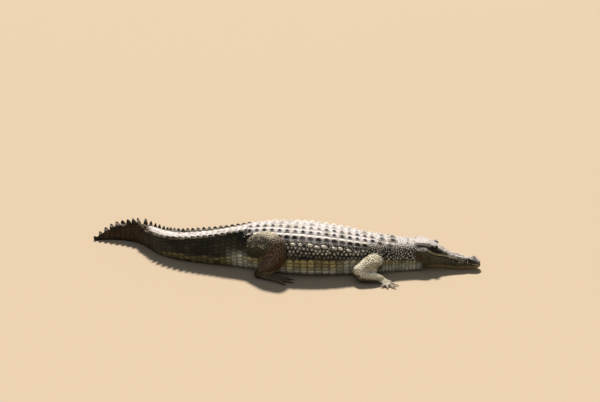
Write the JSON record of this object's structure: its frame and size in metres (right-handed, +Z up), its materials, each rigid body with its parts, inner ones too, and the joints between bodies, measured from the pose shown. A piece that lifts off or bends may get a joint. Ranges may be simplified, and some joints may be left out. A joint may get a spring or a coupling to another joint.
{
  "type": "nile crocodile model",
  "caption": "Life-size still model of a Nile crocodile resting on its belly, snout forward, legs drawn in beside the trunk and tail swept to its left.",
  "frame": {"origin": "point on the flat of the belly under the middle of the trunk, at floor level", "axes": "+X towards the head, +Y to the animal's left, +Z up"},
  "size_m": [2.8099, 0.9297, 0.3204],
  "materials": {
    "hide": "dry horny scales, matt",
    "pale_hide": "dry soft scales, matt",
    "limb_hide": "dry granular scales, matt",
    "eye": "wet, glossy",
    "claw_horn": "worn horn, satin",
    "teeth": "enamel, satin",
    "mouth_lining": "soft, slightly moist"
  },
  "bodies": {
    "root": {"head": "hide", "neck": "hide", "trunk": "hide", "tail_base": "hide", "tail_middle": "hide", "tail_end": "hide", "lower_jaw": "pale_hide", "eye_right": "eye", "eye_left": "eye", "upper_arm_right": "limb_hide", "forearm_right": "limb_hide", "hand_right": "limb_hide", "thigh_right": "limb_hide", "shank_right": "limb_hide", "foot_right": "limb_hide", "upper_arm_left": "limb_hide", "forearm_left": "limb_hide", "hand_left": "limb_hide", "thigh_left": "limb_hide", "shank_left": "limb_hide", "foot_left": "limb_hide", "claw_front_right_1": "claw_horn", "claw_front_right_2": "claw_horn", "claw_front_right_3": "claw_horn", "claw_hind_right_1": "claw_horn", "claw_hind_right_2": "claw_horn", "claw_hind_right_3": "claw_horn", "claw_front_left_1": "claw_horn", "claw_front_left_2": "claw_horn", "claw_front_left_3": "claw_horn", "claw_hind_left_1": "claw_horn", "claw_hind_left_2": "claw_horn", "claw_hind_left_3": "claw_horn"}
  },
  "joints": []
}
